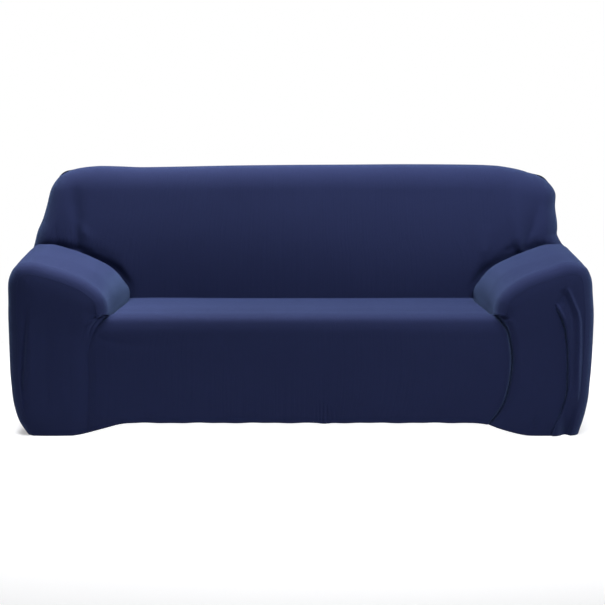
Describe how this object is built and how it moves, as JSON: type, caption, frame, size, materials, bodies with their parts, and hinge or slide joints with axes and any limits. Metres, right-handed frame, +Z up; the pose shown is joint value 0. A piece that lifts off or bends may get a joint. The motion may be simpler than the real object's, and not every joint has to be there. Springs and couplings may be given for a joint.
{
  "type": "sofa slipcover",
  "caption": "Fitted stretch-knit slipcover for a three-seat sofa, hollow, with padded-looking arms, a rounded back, a seat and an apron with a raised middle hem.",
  "frame": {"origin": "middle of the footprint, at floor level", "axes": "+X across the sofa to the right as seen from the front, +Y towards the rear, +Z up"},
  "size_m": [2.094, 0.9031, 0.9097],
  "materials": {
    "knit_inside_back": "matt navy stretch knit",
    "knit_outside_back": "matt navy stretch knit",
    "knit_seat": "matt navy stretch knit",
    "knit_arm_left": "matt navy stretch knit",
    "knit_arm_right": "matt navy stretch knit",
    "knit_front_left": "matt navy stretch knit",
    "knit_front_right": "matt navy stretch knit"
  },
  "bodies": {
    "root": {"inside_back": "knit_inside_back", "outside_back": "knit_outside_back", "seat_and_apron": "knit_seat", "arm_cover_left": "knit_arm_left", "arm_cover_right": "knit_arm_right", "arm_front_left": "knit_front_left", "arm_front_right": "knit_front_right"}
  },
  "joints": []
}
